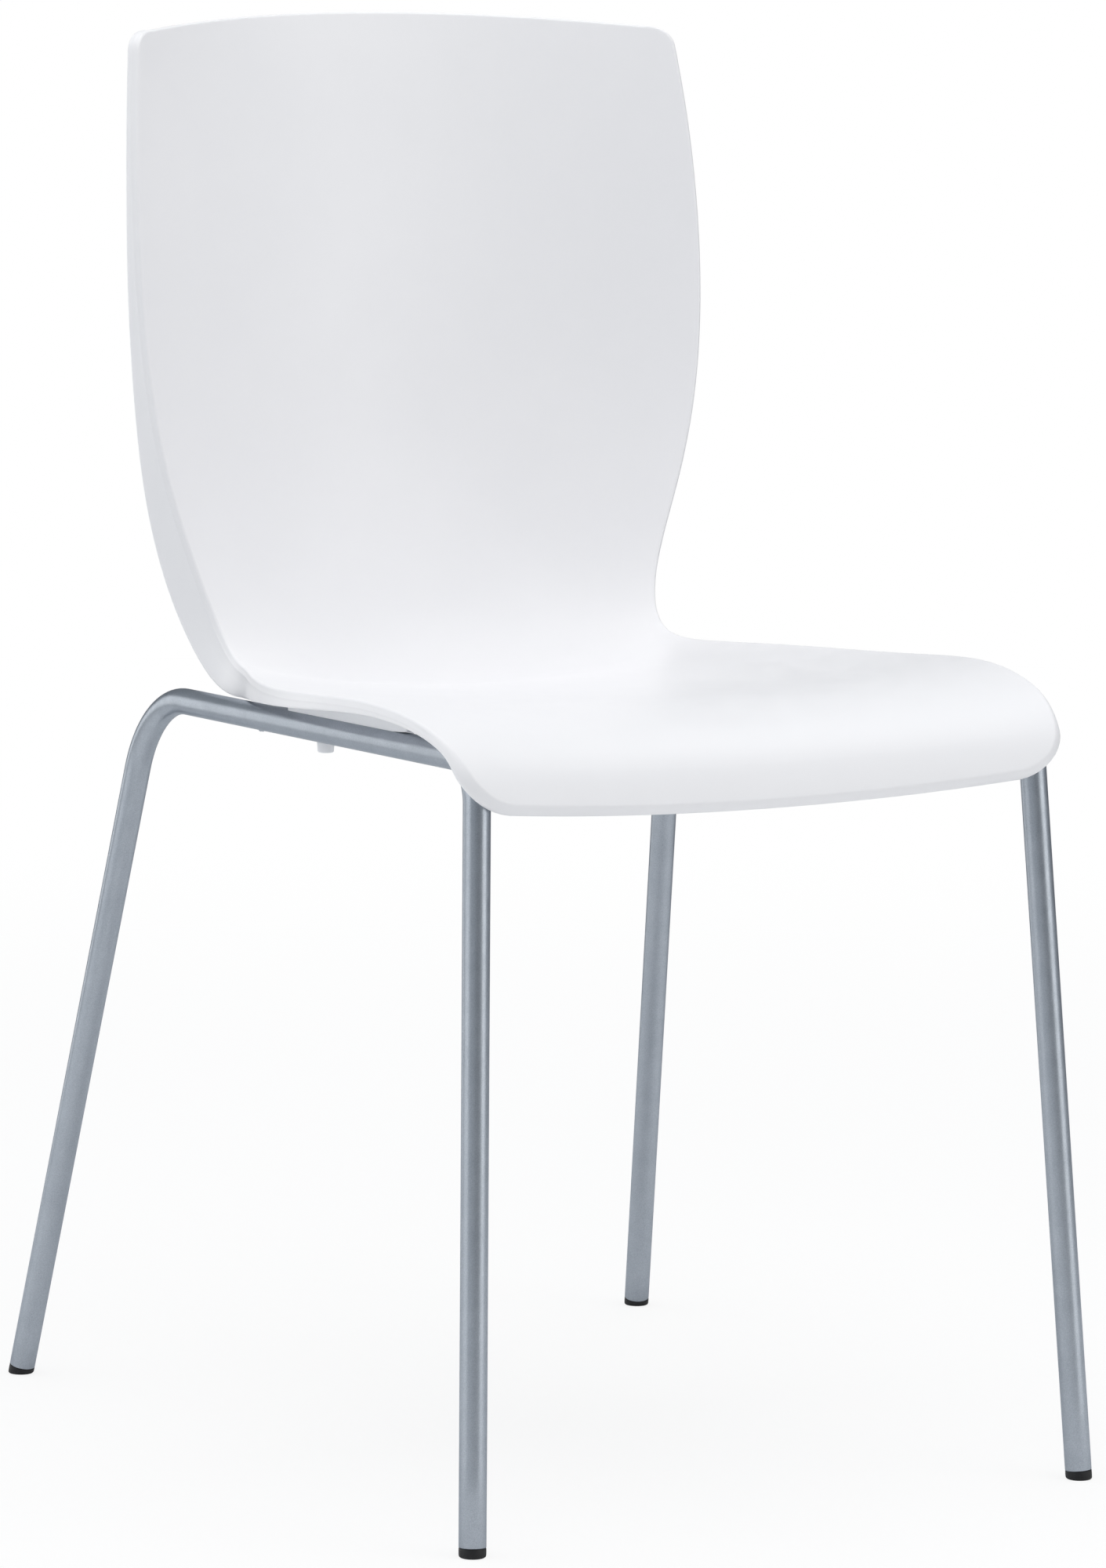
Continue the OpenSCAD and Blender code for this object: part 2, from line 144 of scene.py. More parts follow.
ij = ([(0, j) for j in range(COLS)] + [(i, COLS - 1) for i in range(1, ROWS)]
      + [(ROWS - 1, j) for j in range(COLS - 2, -1, -1)] + [(i, 0) for i in range(ROWS - 2, 0, -1)])
ij = np.array(ij)
edge_t, edge_u = place(rows_a[ij[:, 0]], cols_q[ij[:, 1]])
edge_p, edge_n = face(edge_t, edge_u), normal(edge_t, edge_u)
tangent = np.roll(edge_p, -1, 0) - np.roll(edge_p, 1, 0)
tangent /= np.linalg.norm(tangent, axis=1, keepdims=True)
inward = np.cross(edge_n, tangent)
inward -= edge_n * (inward * edge_n).sum(1, keepdims=True)
inward /= np.linalg.norm(inward, axis=1, keepdims=True)
if (inward * (np.array([0.0, 150.0, 560.0]) - edge_p)).sum() < 0:
    inward = -inward
st, su = slopes(edge_t, edge_u)
step = np.array([np.linalg.lstsq(np.stack([a, b], 1), c, rcond=None)[0] for a, b, c in zip(st, su, inward)])
edge_f = station(edge_t)[:, 4]


def ring(s, h):
    """The rim's line at s inside the outline and h behind the sitter's face; s and h may vary along it."""
    s, h = np.broadcast_to(s, edge_t.shape), np.broadcast_to(h, edge_t.shape)
    return face(edge_t + step[:, 0] * s, edge_u + step[:, 1] * s) + edge_n * h[:, None]


def patch(s, h):
    """The grid of points at s inside the outline, lifted h off the sitter's face."""
    a, even = rows_a.copy(), rows_a.copy()
    a[:TOP_ROWS] = s + (R_TOP - s) * (1 - np.cos(top_arc))
    a[-LIP_ROWS:] = RUN - s - (R_FRONT - s) * (1 - np.cos(lip_arc))
    # The rows follow the round corners only at the edge, and spread evenly inside
    even[:TOP_ROWS] = np.linspace(s, R_TOP, TOP_ROWS)
    even[-LIP_ROWS:] = np.linspace(RUN - R_FRONT, RUN - s, LIP_ROWS)
    a = even[:, None] + (a - even)[:, None] * cols_q[None, :] ** 8
    t, u = place(a, cols_q[None, :], s)
    return face(t, u) + normal(t, u) * h


# ---- Mesh helpers ---------------------------------------------------------------------------

def piece(name, verts, faces, material, replaces=()):
    mesh = bpy.data.meshes.new(name)
    mesh.from_pydata([tuple(float(c) * MM for c in p) for p in verts], [], faces)
    mesh.validate()
    mesh.update()
    mesh.polygons.foreach_set("use_smooth", [True] * len(mesh.polygons))
    obj = bpy.data.objects.new(name, mesh)
    scene.collection.objects.link(obj)
    mesh.materials.append(material)
    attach(obj, "root")
    if replaces:
        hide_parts(*replaces)
    return obj


def keep_sharp(obj, degrees):
    """Smooth shading that still breaks at real corners."""
    limit = math.cos(math.radians(degrees))
    mesh = obj.data
    faces_at = {}
    for poly in mesh.polygons:
        for key in poly.edge_keys:
            faces_at.setdefault(key, []).append(poly.normal.copy())
    for edge in mesh.edges:
        n = faces_at.get(tuple(sorted(edge.vertices)), [])
        edge.use_edge_sharp = len(n) == 2 and n[0].dot(n[1]) < limit


def loft(rings, closed=False, cap_start=False, cap_end=False):
    """Quads between successive rings of equal length, and their points."""
    n = len(rings[0])
    verts = [p for r in rings for p in r]
    faces = []
    pairs = list(zip(range(len(rings) - 1), range(1, len(rings))))
    if closed:
        pairs.append((len(rings) - 1, 0))
    for a, b in pairs:
        for k in range(n):
            m = (k + 1) % n
            faces.append((a * n + k, a * n + m, b * n + m, b * n + k))
    if cap_start:
        faces.append(tuple(range(n - 1, -1, -1)))
    if cap_end:
        faces.append(tuple((len(rings) - 1) * n + k for k in range(n)))
    return verts, faces


def add_to(verts, faces, v, f):
    """Adds a shape to a mesh that is being gathered, and gives the number of its first point."""
    base = len(verts)
    verts.extend(v)
    faces.extend(tuple(base + i for i in q) for q in f)
    return base


def mirror_x(verts, faces):
    return [(-p[0], p[1], p[2]) for p in verts], [tuple(reversed(f)) for f in faces]


def unit(v):
    v = np.asarray(v, float)
    return v / np.linalg.norm(v)


# ---- Materials ------------------------------------------------------------------------------

def new_material(name, **sockets):
    m = bpy.data.materials.new(name)
    m.use_nodes = True
    b = m.node_tree.nodes["Principled BSDF"]
    for k, v in sockets.items():
        b.inputs[k.replace("_", " ")].default_value = v
    return m, m.node_tree, b


def noise(tree, scale, detail=3.0, rough=0.5, stretch=(1, 1, 1)):
    coord = tree.nodes.new("ShaderNodeTexCoord")
    mapping = tree.nodes.new("ShaderNodeMapping")
    mapping.inputs["Scale"].default_value = stretch
    n = tree.nodes.new("ShaderNodeTexNoise")
    n.inputs["Scale"].default_value = scale
    n.inputs["Detail"].default_value = detail
    n.inputs["Roughness"].default_value = rough
    tree.links.new(coord.outputs["Object"], mapping.inputs["Vector"])
    tree.links.new(mapping.outputs["Vector"], n.inputs["Vector"])
    return n.outputs["Fac"]


def ranged(tree, fac, lo, hi, from_lo=0.3, from_hi=0.7, ease="LINEAR"):
    m = tree.nodes.new("ShaderNodeMapRange")
    m.interpolation_type = ease
    m.inputs["From Min"].default_value = from_lo
    m.inputs["From Max"].default_value = from_hi
    m.inputs["To Min"].default_value = lo
    m.inputs["To Max"].default_value = hi
    tree.links.new(fac, m.inputs["Value"])
    return m.outputs["Result"]


def blended(tree, fac, a, b):
    m = tree.nodes.new("ShaderNodeMix")
    m.data_type = "RGBA"
    m.inputs["A"].default_value = (*a, 1)
    m.inputs["B"].default_value = (*b, 1)
    tree.links.new(fac, m.inputs["Factor"])
    return m.outputs["Result"]


def bump(tree, bsdf, height, strength, distance, chain=None):
    b = tree.nodes.new("ShaderNodeBump")
    b.inputs["Strength"].default_value = strength
    b.inputs["Distance"].default_value = distance
    tree.links.new(height, b.inputs["Height"])
    if chain is not None:
        tree.links.new(chain, b.inputs["Normal"])
    tree.links.new(b.outputs["Normal"], bsdf.inputs["Normal"])
    return b.outputs["Normal"]


def plastic(name, light, dark, rough, grain, strength=0.12, **more):
    m, tree, b = new_material(name, **more)
    tree.links.new(blended(tree, ranged(tree, noise(tree, 9.0), 0, 1), light, dark), b.inputs["Base Color"])
    tree.links.new(ranged(tree, noise(tree, 70.0, 4.0), rough - 0.04, rough + 0.05), b.inputs["Roughness"])
    first = bump(tree, b, noise(tree, grain, 2.0), strength, 0.00025)
    bump(tree, b, noise(tree, 26.0, 2.0), 0.05, 0.0006, first)
    return m


white = plastic("white_polypropylene", (0.872, 0.866, 0.885), (0.852, 0.847, 0.868), 0.42, 1500.0,
                IOR=1.49, Subsurface_Weight=0.04, Subsurface_Radius=(0.004, 0.004, 0.004),
                Subsurface_Scale=1.0)
# The pads are the shell's white plastic, tinted a little darker and bluer than the shell as painted shade for
# the shadow they sit in under the shell, above the rail
shaded_pad_white = plastic("white_pad", (0.82, 0.83, 0.85), (0.79, 0.80, 0.825), 0.48, 1100.0, IOR=1.49)
black = plastic("black_glide", (0.009, 0.009, 0.010), (0.005, 0.005, 0.006), 0.55, 1300.0, 0.2, IOR=1.42)
nylon = plastic("black_washer", (0.022, 0.022, 0.024), (0.014, 0.014, 0.015), 0.55, 1300.0, 0.2, IOR=1.5)

silver, tree, b = new_material("silver_metallic_paint", Metallic=0.84, IOR=1.5, Coat_Weight=0.16,
                               Coat_Roughness=0.22, Specular_Tint=(0.55, 0.58, 0.62, 1))
flake = noise(tree, 1700.0, 2.0, 0.6)
cloud = noise(tree, 60.0, 4.0, 0.55)
mixed = tree.nodes.new("ShaderNodeMath")
mixed.operation = "ADD"
tree.links.new(ranged(tree, flake, 0, 0.75), mixed.inputs[0])
tree.links.new(ranged(tree, cloud, 0, 0.25), mixed.inputs[1])
paint = blended(tree, mixed.outputs[0], (0.308, 0.339, 0.384), (0.456, 0.492, 0.54))
tree.links.new(paint, b.inputs["Base Color"])
tree.links.new(ranged(tree, noise(tree, 160.0, 4.0), 0.30, 0.38), b.inputs["Roughness"])
first = bump(tree, b, flake, 0.22, 0.00012)
bump(tree, b, noise(tree, 240.0, 3.0), 0.10, 0.0003, first)

zinc, tree, b = new_material("zinc_plate", Metallic=1.0, Anisotropic=0.3)
plating = blended(tree, ranged(tree, noise(tree, 220.0, 5.0), 0, 1), (0.58, 0.59, 0.57), (0.70, 0.70, 0.66))
tree.links.new(plating, b.inputs["Base Color"])
tree.links.new(ranged(tree, noise(tree, 420.0, 4.0), 0.24, 0.42), b.inputs["Roughness"])
bump(tree, b, noise(tree, 900.0, 2.0), 0.15, 0.0001)


# ---- Seat shell -----------------------------------------------------------------------------
# The rim's section runs from the sitter's face round the rounded edge, down the flange with its
# fine parting line, round the flange's free edge and back up inside to the skin's rear face.

TIP_R = 1.2
swell = np.clip((edge_t - 16.0) / 1.3, 0, 1)
swell = swell * swell * (3 - 2 * swell)
edge_r = 1.7 + 3.5 * swell
flat = 0.72 * swell                 # how far the rounding is flattened into a bevel along the front
edge_f = np.maximum(edge_f, edge_r + 2.7)
rim_rings = [ring(edge_r + 2.6, 0.0), ring(edge_r + 1.2, 0.0)]
for a in np.linspace(0, math.pi / 2, 10):
    chamfer = a / (math.pi / 2)
    rim_rings.append(ring(edge_r * ((1 - math.sin(a)) * (1 - flat) + (1 - chamfer) * flat),
                          edge_r * ((1 - math.cos(a)) * (1 - flat) + chamfer * flat)))
parting = np.minimum(np.maximum(4.6, edge_r + 0.9), edge_f - TIP_R - 0.7)
for s, dh in ((0.0, -0.4), (-0.10, -0.2), (-0.10, 0.2), (0.0, 0.4)):
    rim_rings.append(ring(s, parting + dh))
for f in (0.35, 0.7):
    rim_rings.append(ring(0.0, parting + 0.4 + (edge_f - TIP_R - parting - 0.4) * f))
for a in np.linspace(0, math.pi / 2, 5):
    rim_rings.append(ring(TIP_R * (1 - math.cos(a)), edge_f - TIP_R * (1 - math.sin(a))))
for a in np.linspace(math.pi / 2, 0, 5):
    rim_rings.append(ring(RIM - TIP_R * (1 - math.cos(a)), edge_f - TIP_R * (1 - math.sin(a))))
fillet = np.clip(edge_f - TIP_R - 0.1 - SKIN, 0.05, 4.0)
rim_rings.append(ring(RIM, (edge_f - TIP_R + SKIN + fillet) / 2))
for a in np.linspace(0, math.pi / 2, 6):
    rim_rings.append(ring(RIM + fillet * (1 - np.cos(a)), SKIN + fillet * (1 - np.sin(a))))
rim_rings.append(ring(RIM + 4.6, SKIN))

front_grid, rear_grid = patch(9.5, 0.0), patch(RIM + 7.5, SKIN)
verts, faces = [], []


def add_grid(grid, flip):
    base = len(verts)
    verts.extend(grid.reshape(-1, 3))
    for i in range(ROWS - 1):
        for j in range(COLS - 1):
            k = base + i * COLS + j
            q = (k, k + 1, k + COLS + 1, k + COLS)
            faces.append(q[::-1] if flip else q)
    return [base + i * COLS + j for i, j in ij]


loops = [add_grid(front_grid, False)]
for r in rim_rings:
    base = len(verts)
    verts.extend(r)
    loops.append([base + k for k in range(len(r))])
loops.append(add_grid(rear_grid, True))
for a, b in zip(loops, loops[1:]):
    for k in range(len(a)):
        m = (k + 1) % len(a)
        faces.append((a[k], b[k], b[m], a[m]))
shell = piece("moulded_seat_shell", verts, faces, white, ["seat_shell"])
mesh = shell.data
bm = bmesh.new()
bm.from_mesh(mesh)
bmesh.ops.recalc_face_normals(bm, faces=bm.faces)
bm.to_mesh(mesh)
bm.free()


# ---- Bosses under the shell -----------------------------------------------------------------

def under_z(x, y):
    """Height of the shell's underside at x and y, found along the seat's stations."""
    t = np.linspace(10.4, 17.0, 400)
    u = x / station(t)[..., 2]
    p = face(t, u) + normal(t, u) * SKIN
    return p[int(np.argmin(np.abs(p[:, 1] - y))), 2]


def rail_at(y):
    return RAIL_FRONT + (RAIL_REAR - RAIL_FRONT) * (y - RAIL_FRONT[1]) / (RAIL_REAR[1] - RAIL_FRONT[1])


# Each ring's radius, its rise off the cross tube, and then its share of the way up into the skin
BOSS_RINGS = ((9.3, 0.0, 0.0), (10.0, 0.7, 0.0), (10.0, 0.7, 0.35), (10.0, 0.7, 0.65),
              (10.6, 0.7, 0.88), (12.0, 0.7, 1.0))
BOSS_SIDES, BOSS_SINK = 40, 0.25
verts, faces = [], []
for y, drop in CROSS:
    z = rail_at(y)[2] + drop
    for sx in (-SCREW_X, SCREW_X):
        rings = []
        for r, rise, share in BOSS_RINGS:
            pts = []
            for k in range(BOSS_SIDES):
                a = 2 * math.pi * k / BOSS_SIDES
                dx, dy = r * math.cos(a), r * math.sin(a)
                low = z + max(3.0, math.sqrt(max(CROSS_R ** 2 - dy ** 2, 0.0)))
                top = under_z(sx + dx, y + dy) + BOSS_SINK
                pts.append((sx + dx, y + dy, low + rise + (top - low - rise) * share))
            rings.append(pts)
        base = add_to(verts, faces, *loft(rings))
        c = len(verts)
        verts.append((sx, y, z + CROSS_R))
        faces.extend((base + (k + 1) % BOSS_SIDES, base + k, c) for k in range(BOSS_SIDES))
piece("moulded_screw_bosses", verts, faces, white)


# ---- Bent side tubes ------------------------------------------------------------------------

def bend_path(a, corner, b, r, stops=22):
    u, v = unit(a - corner), unit(b - corner)
    half = math.acos(float(u @ v)) / 2
    centre = corner + unit(u + v) * r / math.sin(half)
    x_axis = unit(corner + u * r / math.tan(half) - centre)
    out = []
    for k in range(stops + 1):
        g = (math.pi - 2 * half) * k / stops
        point = centre + r * (math.cos(g) * x_axis - math.sin(g) * u)
        out.append((point, -math.sin(g) * x_axis - math.cos(g) * u))
    return out


def between(p, q, d, n):
    return [(p + (q - p) * k / n, d) for k in range(1, n)]


leg_front, leg_rear = unit(RAIL_FRONT - FRONT_FOOT), unit(REAR_FOOT - RAIL_REAR)
bend_a = bend_path(FRONT_FOOT, RAIL_FRONT, RAIL_REAR, FRONT_BEND)
bend_b = bend_path(RAIL_FRONT, RAIL_REAR, REAR_FOOT, REAR_BEND)
start, end = FRONT_FOOT + leg_front * GLIDE_H, REAR_FOOT - leg_rear * GLIDE_H
path = ([(start, leg_front)] + between(start, bend_a[0][0], leg_front, 10) + bend_a
        + between(bend_a[-1][0], bend_b[0][0], bend_a[-1][1], 8) + bend_b
        + between(bend_b[-1][0], end, leg_rear, 10) + [(end, leg_rear)])
SIDES = 48


def tube_ring(p, d, r, sides=SIDES):
    u = unit(np.array([1.0, 0, 0]) - d[0] * d)
    w = np.cross(d, u)
    turns = [2 * math.pi * k / sides for k in range(sides)]
    return [p + r * (math.cos(g) * u + math.sin(g) * w) for g in turns]


s0, d0 = path[0]
s1, d1 = path[-1]
rings = [tube_ring(s0 + d0 * 0.3, d0, BORE_R), tube_ring(s0, d0, BORE_R + 0.3),
         tube_ring(s0, d0, TUBE_R - 0.3), tube_ring(s0 + d0 * 0.1, d0, TUBE_R - 0.09),
         tube_ring(s0 + d0 * 0.3, d0, TUBE_R)]
rings += [tube_ring(p, d, TUBE_R) for p, d in path[1:-1]]
rings += [tube_ring(s1 - d1 * 0.3, d1, TUBE_R), tube_ring(s1 - d1 * 0.1, d1, TUBE_R - 0.09),
          tube_ring(s1, d1, TUBE_R - 0.3), tube_ring(s1, d1, BORE_R + 0.3),
          tube_ring(s1 - d1 * 0.3, d1, BORE_R)]
rings += [tube_ring(p, d, BORE_R) for p, d in reversed(path[1:-1])]
v, f = loft(rings, closed=True)
piece("left_bent_tube", v, f, silver, ["left_side_tube"])
v, f = mirror_x(v, f)
piece("right_bent_tube", v, f, silver, ["right_side_tube"])

# Coped cross tubes: their ends follow the rails' round sides
for (y, drop), node in zip(CROSS, ("front_cross_tube", "rear_cross_tube")):
    c = rail_at(y)
    z = c[2] + drop
    rings = []
    for r, fractions in ((CROSS_R, np.linspace(-1, 1, 25)), (CROSS_BORE, np.linspace(1, -1, 9))):
        for f_ in fractions:
            pts = []
            for k in range(SIDES):
                a = 2 * math.pi * k / SIDES
                dy, dz = r * math.cos(a), r * math.sin(a)
                reach = c[0] - math.sqrt(max(TUBE_R ** 2 - (dz + drop) ** 2, 0.0))
                pts.append((reach * f_, y + dy, z + dz))
            rings.append(pts)
    v, f = loft(rings, closed=True)
    piece(node + "_surface", v, f, silver, [node])

# Weld beads, with the ripples that the torch leaves
verts, faces = [], []
for y, drop in CROSS:
    c = rail_at(y)
    z = c[2] + drop
    for side in (-1, 1):
        n, m = 144, 12                  # steps round the cross tube, and sides of the bead's section
        line = []
        for k in range(n):
            a = 2 * math.pi * k / n
            dy, dz = (CROSS_R + 0.3) * math.cos(a), (CROSS_R + 0.3) * math.sin(a)
            inside = TUBE_R + 0.3
            reach = c[0] - math.sqrt(max(inside ** 2 - (dz + drop) ** 2, 0.0))
            line.append(np.array([reach, y + dy, z + dz]))
        line = np.array(line)
        rings = []
        for k in range(n):
            d = unit(line[(k + 1) % n] - line[k - 1])
            out = unit(line[k] - np.array([line[k][0] - 4.0, y, z]))
            out = unit(out - d * float(out @ d))
            w = np.cross(d, out)
            r = WELD_R + 0.18 * math.sin(k * 2 * math.pi * 24 / n) + 0.10 * math.sin(k * 2 * math.pi * 5 / n)
            turns = np.linspace(0, 2 * math.pi, m, endpoint=False)
            rings.append([line[k] + r * (math.cos(g) * out + math.sin(g) * w) for g in turns])
        v, f = loft(rings, closed=True)
        if side < 0:
            v, f = mirror_x(v, f)
        add_to(verts, faces, v, f)
piece("rippled_weld_beads", verts, faces, silver, ["frame_welds"])


# ---- Glides ---------------------------------------------------------------------------------

def glide(foot, corner):
    """Rings in level planes at the sole, turning square to the leg at the tube's end."""
    d = unit(corner - foot)
    n = 48
    u = unit(np.array([1.0, 0, 0]) - d[0] * d)
    w = np.cross(d, u)

    def level(r, height):
        out = []
        for k in range(n):
            a = 2 * math.pi * k / n
            p = foot + r * (math.cos(a) * u + math.sin(a) * w)
            out.append(p + d * ((height - p[2]) / d[2]))
        return out

    def square(r, along):
        return tube_ring(foot + d * along, d, r, n)

    def mixed(r, height, along, f):
        return [a * (1 - f) + b * f for a, b in zip(level(r, height), square(r, along))]

    rings = [level(4.0, 0.0), level(6.4, 0.0), level(7.3, 0.12), level(7.75, 0.5), level(7.95, 1.1),
             mixed(8.0, 1.9, 3.0, 0.3), mixed(8.0, 3.0, 4.0, 0.75), square(7.95, GLIDE_H - 0.45),
             square(7.75, GLIDE_H - 0.15), square(7.3, GLIDE_H - 0.05), square(6.1, GLIDE_H - 0.05)]
    for k in range(1, 4):
        z = GLIDE_H + k * 6.0
        rings += [square(6.1, z - 0.1), square(6.45, z), square(6.1, z + 2.5)]
    rings.append(square(6.1, GLIDE_H + GLIDE_STEM))
    return loft(rings, cap_start=True, cap_end=True)


for name, foot, corner in (("front", FRONT_FOOT, RAIL_FRONT), ("rear", REAR_FOOT, RAIL_REAR)):
    v, f = glide(foot, corner)
    keep_sharp(piece(name + "_left_glide_cap", v, f, black, [name + "_left_glide"]), 50)
    v, f = mirror_x(v, f)
    keep_sharp(piece(name + "_right_glide_cap", v, f, black, [name + "_right_glide"]), 50)


# ---- Seat pads ------------------------------------------------------------------------------

def pad_floor(dx, y):
    """Height of the pad's underside at dx outboard of the rail's centreline."""
    c = rail_at(y)
    low = c[2] + PAD_LAP
    if abs(dx) < TUBE_R:
        low = max(low, c[2] + math.sqrt(TUBE_R ** 2 - dx * dx) + 0.03)
    if y < RELIEF_Y:
        low = max(low, c[2] + TUBE_R + RELIEF * (2 * (RELIEF_Y - y) / RELIEF_RUN - 1))
    return low


def seat_pad():
    """A rounded block along the rail's top, and the round peg that hangs beside the rail."""
    end_steps = [0.0, 0.3, 1.0, 2.2]
    ys = np.concatenate([PAD_REAR - np.array(end_steps), np.linspace(-17, -137, 33),
                         np.linspace(-138.9, -158.0, 26), PAD_FRONT + np.array([2.3, 1.1, 0.3, 0.0])])
    left, right = PAD_OUT - PAD_W, PAD_OUT
    rings = []
    for y in ys:
        c = rail_at(y)
        d_end = min(abs(y - PAD_REAR), abs(y - PAD_FRONT))
        pinch = float(np.interp(d_end, end_steps, [0.9, 0.5, 0.15, 0.0]))
        lo, hi = left + pinch, right - pinch
        xs = np.linspace(hi, lo, 22)
        top_lo, top_hi = (under_z(c[0] + dx, y) - PAD_SLACK - pinch for dx in (lo, hi))
        pts = [(c[0] + dx, y, min(pad_floor(dx, y), top_lo - 0.3)) for dx in xs]
        low_in, low_out = pts[-1][2], pts[0][2]
        r = 0.9
        for f_ in (0.3, 0.65):
            pts.append((c[0] + lo, y, low_in + (top_lo - r - low_in) * f_))
        for a in np.linspace(0, math.pi / 2, 4):
            pts.append((c[0] + lo + r - r * math.cos(a), y, top_lo - r + r * math.sin(a)))
        for f_ in (0.25, 0.5, 0.75):
            pts.append((c[0] + lo + (hi - lo) * f_, y, top_lo + (top_hi - top_lo) * f_))
        for a in np.linspace(math.pi / 2, 0, 4):
            pts.append((c[0] + hi - r + r * math.cos(a), y, top_hi - r + r * math.sin(a)))
        for f_ in (0.65, 0.3):
            pts.append((c[0] + hi, y, low_out + (top_hi - r - low_out) * f_))
        rings.append(pts)
    v, f = loft(rings, cap_start=True, cap_end=True)
    c = rail_at(PEG_Y)
    x, r = c[0] - TUBE_R - PEG_SLACK - PEG_D / 2, PEG_D / 2
    tip = c[2] - TUBE_R - PEG_SHOW
    prof = [(1.0, 0.0), (r - 1.9, 0.0), (r - 1.2, 0.15), (r - 0.8, 0.5), (r - 0.62, 1.1), (r - 0.3, 6.5),
            (r, 12.0), (r, TUBE_R + PEG_SHOW + PEG_ROOT)]
    turns = [2 * math.pi * k / 40 for k in range(40)]
    prings = [[(x + rr * math.cos(g), PEG_Y + rr * math.sin(g), tip + h) for g in turns] for rr, h in prof]
    add_to(v, f, *loft(prings, cap_start=True, cap_end=True))
    return v, f


v, f = seat_pad()
keep_sharp(piece("left_rail_pad", v, f, shaded_pad_white, ["left_seat_pad"]), 40)
v, f = mirror_x(v, f)
keep_sharp(piece("right_rail_pad", v, f, shaded_pad_white, ["right_seat_pad"]), 40)

# ---- Carried-over CAD nodes -----------------------------------------------------------------

for node, material in (("fixing_screws", zinc), ("saddle_washers", nylon)):
    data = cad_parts[node].data
    data.materials.clear()
    data.materials.append(material)

# ---- Floor, light and camera ----------------------------------------------------------------

FLOOR_R = 4.0
rings = [[(r * math.cos(2 * math.pi * k / 96), r * math.sin(2 * math.pi * k / 96), 0.0) for k in range(96)]
         for r in np.linspace(0.05, FLOOR_R, 24)]
v, f = loft(rings, cap_start=True)
floor_mesh = bpy.data.meshes.new("pale_floor")
floor_mesh.from_pydata(v, [], [tuple(reversed(q)) for q in f])
floor = bpy.data.objects.new("pale_floor", floor_mesh)
scene.collection.objects.link(floor)
fm, tree, b = new_material("pale_floor", Roughness=0.9, IOR=1.3)
floor_colour = blended(tree, ranged(tree, noise(tree, 2.0), 0, 1), (0.93, 0.93, 0.935), (0.95, 0.95, 0.955))
tree.links.new(floor_colour, b.inputs["Base Color"])
# The floor fades into the white surroundings away from the chair, so no horizon shows
coord = tree.nodes.new("ShaderNodeTexCoord")
dist = tree.nodes.new("ShaderNodeVectorMath")
dist.operation = "LENGTH"
tree.links.new(coord.outputs["Object"], dist.inputs[0])
fade = ranged(tree, dist.outputs["Value"], 1.0, 0.0, 0.7, 2.6, "SMOOTHSTEP")
tree.links.new(fade, b.inputs["Alpha"])
glow, veil, seen_by = (tree.nodes.new("ShaderNode" + kind) for kind in ("Emission", "MixShader", "LightPath"))
glow.inputs["Color"].default_value = (1, 1, 1, 1)
share = ranged(tree, seen_by.outputs["Is Camera Ray"], 0, 0.84, 0, 1)
tree.links.new(share, veil.inputs[0])
tree.links.new(b.outputs[0], veil.inputs[1])
tree.links.new(glow.outputs[0], veil.inputs[2])
surface = next(n for n in tree.nodes if n.bl_idname == "ShaderNodeOutputMaterial")
tree.links.new(veil.outputs[0], surface.inputs["Surface"])
floor_mesh.materials.append(fm)


def towards(tree, coord, direction):
    """The part of each direction into the room that points along the given one."""
    n = tree.nodes.new("ShaderNodeVectorMath")
    n.operation = "DOT_PRODUCT"
    n.inputs[1].default_value = direction
    tree.links.new(coord.outputs["Generated"], n.inputs[0])
    return n.outputs["Value"]


world = bpy.data.worlds.new("studio")
scene.world = world
world.use_nodes = True
wt = world.node_tree
wt.nodes.clear()
out = wt.nodes.new("ShaderNodeOutputWorld")
seen, lit = wt.nodes.new("ShaderNodeBackground"), wt.nodes.new("ShaderNodeBackground")
seen.inputs["Color"].default_value = (1, 1, 1, 1)
lit.inputs["Color"].default_value = (0.88, 0.94, 1.0, 1)
# A darker front of the room, as in a studio lit from the sides and above
coord = wt.nodes.new("ShaderNodeTexCoord")
dim = ranged(wt, towards(wt, coord, (0.10, -0.995, 0.0)), 0.52, 0.24, 0.45, 0.95, "SMOOTHSTEP")
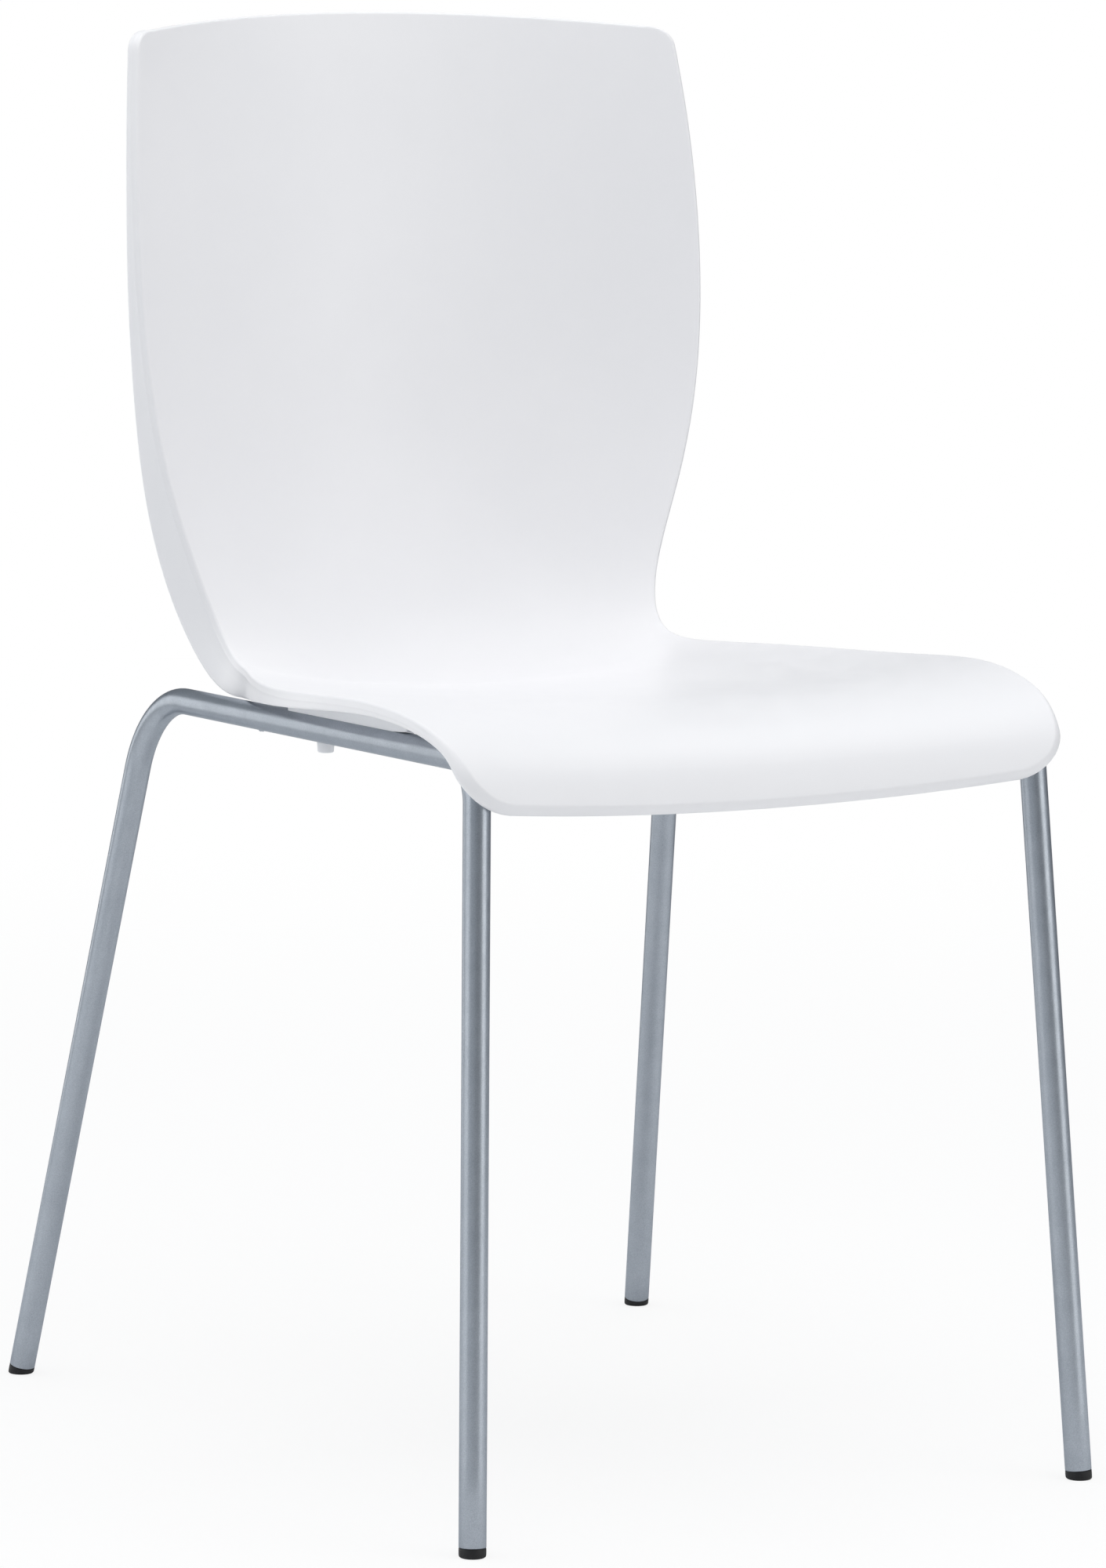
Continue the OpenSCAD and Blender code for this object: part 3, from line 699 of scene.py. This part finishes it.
# and a darker far side of the room near the horizon, which the edges of the tubes reflect
far = ranged(wt, towards(wt, coord, (0.49, 0.87, -0.9)), 1.0, 0.45, -0.1, 0.6, "SMOOTHSTEP")
level = wt.nodes.new("ShaderNodeMath")
level.operation = "MULTIPLY"
wt.links.new(dim, level.inputs[0])
wt.links.new(far, level.inputs[1])
wt.links.new(level.outputs[0], lit.inputs["Strength"])
which, pick = wt.nodes.new("ShaderNodeLightPath"), wt.nodes.new("ShaderNodeMixShader")
wt.links.new(which.outputs["Is Camera Ray"], pick.inputs[0])
wt.links.new(lit.outputs[0], pick.inputs[1])
wt.links.new(seen.outputs[0], pick.inputs[2])
wt.links.new(pick.outputs[0], out.inputs["Surface"])


def softbox(name, where, aim, size, power, colour=(1, 0.985, 0.955), glossy=True):
    light = bpy.data.lights.new(name, "AREA")
    light.shape = "RECTANGLE"
    light.size, light.size_y = size
    light.energy = power
    light.color = colour
    obj = bpy.data.objects.new(name, light)
    obj.location = where
    obj.rotation_euler = (Vector(aim) - Vector(where)).to_track_quat("-Z", "Y").to_euler()
    obj.visible_glossy = glossy
    obj.visible_camera = False
    scene.collection.objects.link(obj)
    return obj


softbox("overhead_softbox", (0.0, -0.3, 3.3), (0, -0.1, 0.3), (3.2, 3.2), 65, glossy=False)
softbox("front_fill", (-2.5, -3.2, 1.6), (0, 0, 0.6), (2.5, 2.5), 14.5, glossy=False)
softbox("left_softbox", (-3.2, 0.85, 1.0), (0, 0, 0.45), (2.9, 2.4), 22.5)
softbox("right_softbox", (1.95, -2.75, 1.0), (0, 0, 0.45), (2.2, 2.4), 27.5)
softbox("low_rear_panel", (-1.8, 3.8, 0.5), (0, 0, 0.45), (1.6, 2.4), 20)

AZ, EL, DIST, ROLL = math.radians(-29.836), math.radians(7.791), 4.3615, math.radians(0.5)
TARGET = Vector((0, 0, 0.3982))
LENS = 163.9872
away = Vector((math.sin(AZ) * math.cos(EL), -math.cos(AZ) * math.cos(EL), math.sin(EL)))
right = Vector((math.cos(AZ), math.sin(AZ), 0))
up = away.cross(right)
r2 = right * math.cos(ROLL) + up * math.sin(ROLL)
u2 = up * math.cos(ROLL) - right * math.sin(ROLL)
cam_data = bpy.data.cameras.new("camera")
cam = bpy.data.objects.new("camera", cam_data)
scene.collection.objects.link(cam)
m = Matrix.Identity(4)
for k in range(3):
    m[k][0], m[k][1], m[k][2] = r2[k], u2[k], away[k]
    m[k][3] = (TARGET + away * DIST)[k]
cam.matrix_world = m
cam_data.sensor_width = 36
cam_data.lens = LENS
cam_data.clip_end = 100
scene.camera = cam
scene.view_settings.view_transform = "Standard"
